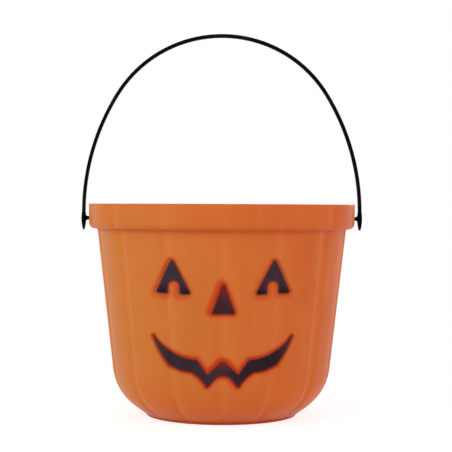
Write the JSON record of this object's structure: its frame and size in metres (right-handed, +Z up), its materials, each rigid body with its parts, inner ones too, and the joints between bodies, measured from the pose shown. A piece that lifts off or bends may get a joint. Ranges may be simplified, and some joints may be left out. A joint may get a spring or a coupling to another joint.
{
  "type": "pumpkin candy pail",
  "caption": "Thin plastic pail shaped as a lobed pumpkin with a sunken, painted lantern face, a turned-out rim band and a strap handle that swings on snap pegs.",
  "frame": {"origin": "centre of the standing ring, on the plane that the pail stands on", "axes": "+Z up along the pail's axis; the face looks along -Y; the handle's pegs lie along X"},
  "size_m": [0.222, 0.2086, 0.3],
  "materials": {
    "pail_plastic": "satin orange moulded plastic",
    "handle_plastic": "satin black moulded plastic",
    "face_paint": "satin black paint"
  },
  "bodies": {
    "pail": {"pail_shell": "pail_plastic", "left_eye_paint": "face_paint", "right_eye_paint": "face_paint", "nose_paint": "face_paint", "mouth_paint": "face_paint"},
    "handle": {"carry_handle": "handle_plastic"}
  },
  "joints": [
    {"name": "handle_swing", "type": "hinge", "parent": "pail", "child": "handle", "pos_m": [0, 0, 0.1544], "axis": [1, 0, 0], "range_deg": [-140, 140]}
  ]
}
